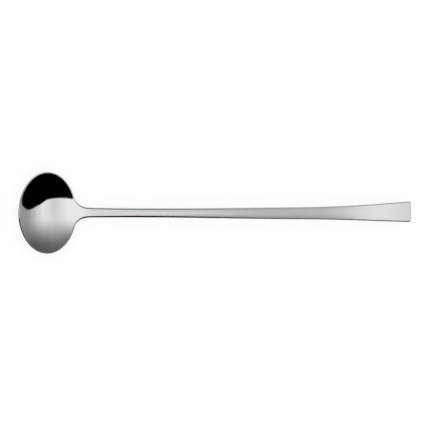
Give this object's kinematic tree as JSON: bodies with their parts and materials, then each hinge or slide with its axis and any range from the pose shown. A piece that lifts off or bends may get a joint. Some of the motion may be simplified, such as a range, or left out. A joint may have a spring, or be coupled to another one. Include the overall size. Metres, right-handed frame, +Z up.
{
  "type": "dressing ladle",
  "caption": "Polished steel dressing ladle: a shallow oval bowl, pressed and set crosswise, on a long, narrow, arched handle that flares to a square end; for sauce or salad dressing.",
  "frame": {"origin": "on the table, under the middle of the ladle's box as it lies on the back of its bowl and the end of its handle", "axes": "+X along the handle towards its end, +Z up, +Y across the ladle; the bowl opens upwards, its rim tilted a little towards +X"},
  "size_m": [0.3008, 0.0628, 0.0192],
  "materials": {
    "bowl_steel": "mirror-polished stainless steel, not plated",
    "handle_steel": "polished stainless steel, a little softer than the bowl, not plated"
  },
  "bodies": {
    "root": {"bowl": "bowl_steel", "handle": "handle_steel"}
  },
  "joints": []
}
